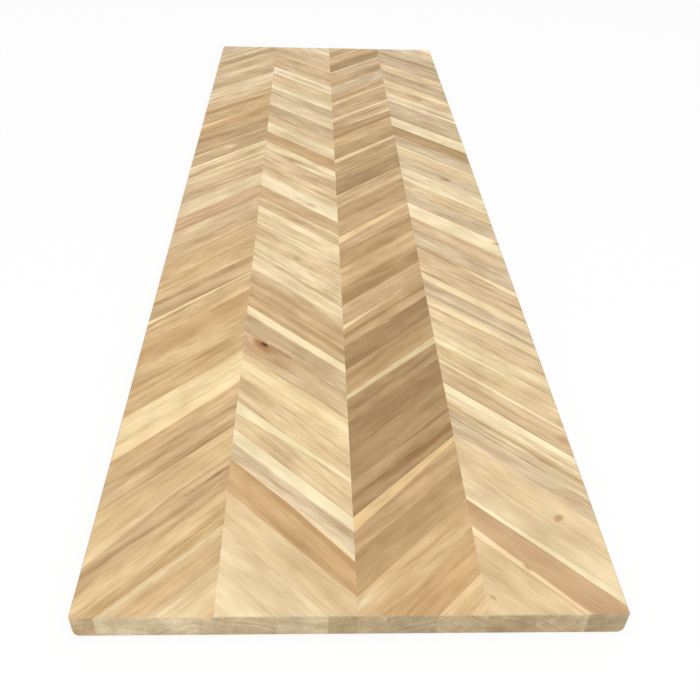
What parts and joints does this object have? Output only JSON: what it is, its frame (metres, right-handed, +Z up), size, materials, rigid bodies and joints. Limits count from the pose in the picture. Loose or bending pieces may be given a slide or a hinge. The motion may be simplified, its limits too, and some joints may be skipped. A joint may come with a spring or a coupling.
{
  "type": "chevron butcher-block panel",
  "caption": "Flat solid-wood panel glued up from slanted staves in long strips that make a chevron, with eased edges and long sides rounded over underneath, for a worktop or table top.",
  "frame": {"origin": "middle of the panel's underside", "axes": "+Z up out of the top face; +Y along the panel's length, from the near end to the far end; +X across the strips to the right"},
  "size_m": [0.635, 2, 0.036],
  "materials": {
    "cream_wood": "sanded, pale sapwood",
    "straw_wood": "sanded, mixed sapwood and heartwood",
    "honey_wood": "sanded heartwood",
    "brown_wood": "sanded dark heartwood"
  },
  "bodies": {
    "root": {"left_outer_odd_staves": "honey_wood", "left_outer_even_staves": "straw_wood", "left_inner_odd_staves": "cream_wood", "left_inner_even_staves": "straw_wood", "right_inner_odd_staves": "brown_wood", "right_inner_even_staves": "honey_wood", "right_outer_odd_staves": "straw_wood", "right_outer_even_staves": "cream_wood"}
  },
  "joints": []
}
